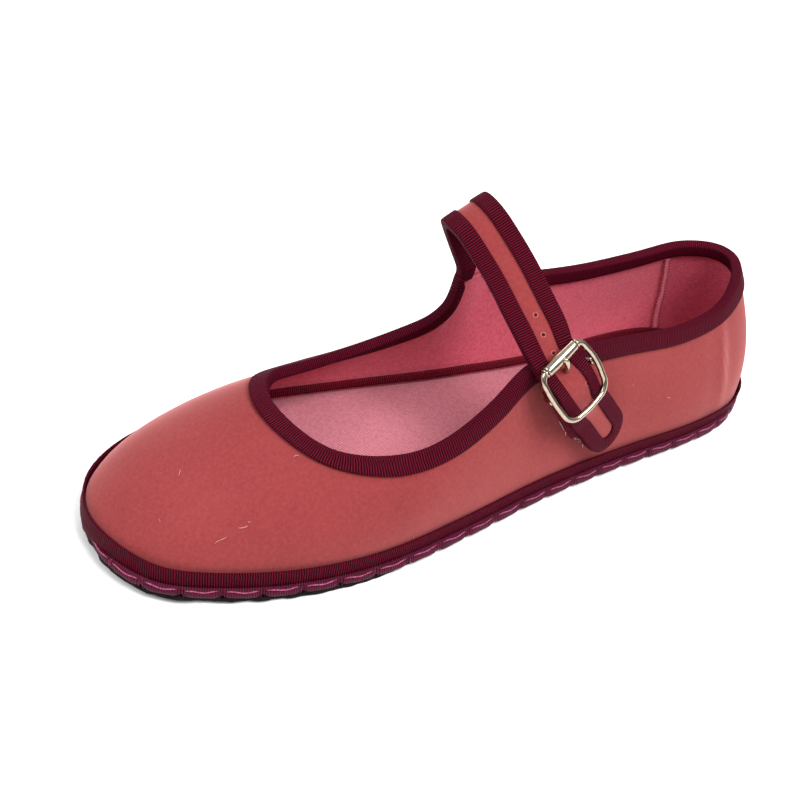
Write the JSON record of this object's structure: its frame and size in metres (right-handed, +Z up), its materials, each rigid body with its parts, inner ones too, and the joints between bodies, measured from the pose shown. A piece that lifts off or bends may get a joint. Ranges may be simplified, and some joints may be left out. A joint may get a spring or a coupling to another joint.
{
  "type": "mary jane flat",
  "caption": "Low velvet flat with a rounded toe, open throat and collar, taped edges, a thin rubber sole and a strap over the instep closed by a roller buckle.",
  "frame": {"origin": "on the floor, under the middle of the shoe's bounding box", "axes": "+X from heel to toe, +Y to the outer side that carries the buckle, +Z up from the floor"},
  "size_m": [0.25, 0.083, 0.088],
  "materials": {
    "sole_rubber": "matte, finely waved edge",
    "edge_cloth": "stitched cloth edge",
    "insole_cloth": "twill weave",
    "velvet": "short pile",
    "ribbed_tape": "ribbed tape",
    "buckle_metal": "polished, pale gold"
  },
  "bodies": {
    "root": {"outsole": "sole_rubber", "stitched_edge": "edge_cloth", "insole": "insole_cloth", "upper": "velvet", "lower_band": "ribbed_tape", "insole_tape": "ribbed_tape", "topline_binding": "ribbed_tape", "strap": "velvet", "strap_binding": "ribbed_tape", "buckle_frame": "buckle_metal", "buckle_roller": "buckle_metal", "buckle_prong": "buckle_metal", "buckle_tab": "ribbed_tape"}
  },
  "joints": []
}
